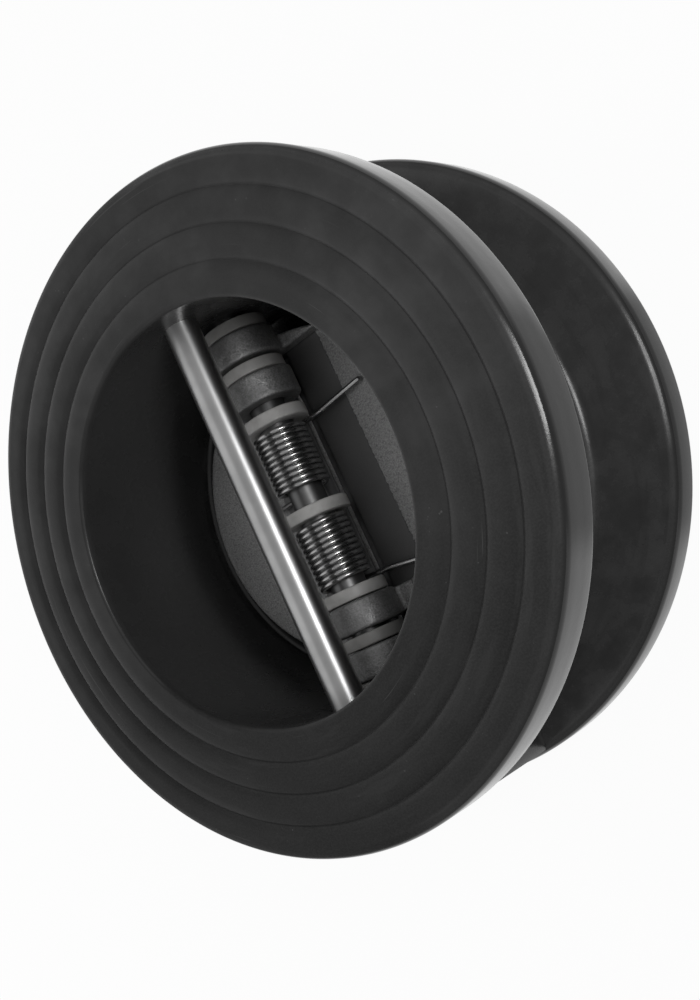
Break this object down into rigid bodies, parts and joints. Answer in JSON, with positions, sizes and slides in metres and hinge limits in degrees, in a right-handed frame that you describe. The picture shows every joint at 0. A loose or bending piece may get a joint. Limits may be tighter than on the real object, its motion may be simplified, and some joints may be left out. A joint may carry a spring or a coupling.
{
  "type": "dual-plate wafer check valve",
  "caption": "Rubber-lined wafer check valve: two spring-closed half-disc plates swing on a hinge pin inside a short spool body, below a stop pin.",
  "frame": {"origin": "centre of the inlet sealing face, the face that the valve lies on", "axes": "+Z along the pipe in the flow direction, from the inlet face to the outlet face; the hinge pin and stop pin lie along Y, +Y being the end that is uppermost in the picture; the plates lie on the +X and -X sides"},
  "size_m": [0.162, 0.162, 0.064],
  "materials": {
    "lining_rubber": "matte moulded black rubber, glossier on the rims",
    "cast_core": "rough casting, fully covered",
    "plate_metal": "blasted cast stainless steel, grainy satin",
    "pin_metal": "ground and polished",
    "spring_wire": "bright drawn wire",
    "white_washer": "white fluoropolymer, satin",
    "plug_metal": "turned steel",
    "seal_metal": "soft annealed ring"
  },
  "bodies": {
    "valve_body": {"rubber_body": "lining_rubber", "iron_core": "cast_core", "hinge_pin": "pin_metal", "stop_pin": "pin_metal", "upper_spring": "spring_wire", "lower_spring": "spring_wire", "upper_body_washer": "white_washer", "upper_lug_washer": "white_washer", "upper_spring_washer": "white_washer", "centre_washer": "white_washer", "lower_spring_washer": "white_washer", "lower_lug_washer": "white_washer", "lower_body_washer": "white_washer", "upper_hinge_plug": "plug_metal", "lower_hinge_plug": "plug_metal", "upper_stop_plug": "plug_metal", "lower_stop_plug": "plug_metal", "upper_hinge_plug_seal": "seal_metal", "lower_hinge_plug_seal": "seal_metal", "upper_stop_plug_seal": "seal_metal", "lower_stop_plug_seal": "seal_metal"},
    "right_disc": {"right_plate": "plate_metal"},
    "left_disc": {"left_plate": "plate_metal"}
  },
  "joints": [
    {"name": "right_swing", "type": "hinge", "parent": "valve_body", "child": "right_disc", "pos_m": [0, 0, 0.0325], "axis": [0, -1, 0], "range_deg": [0, 82], "stiffness_Nm_per_rad": 0.085, "springref_deg": -54.43, "deforming": ["upper_spring", "lower_spring"]},
    {"name": "left_swing", "type": "hinge", "parent": "valve_body", "child": "left_disc", "pos_m": [0, 0, 0.0325], "axis": [0, 1, 0], "range_deg": [0, 82], "stiffness_Nm_per_rad": 0.085, "springref_deg": -54.43, "deforming": ["upper_spring", "lower_spring"]}
  ]
}
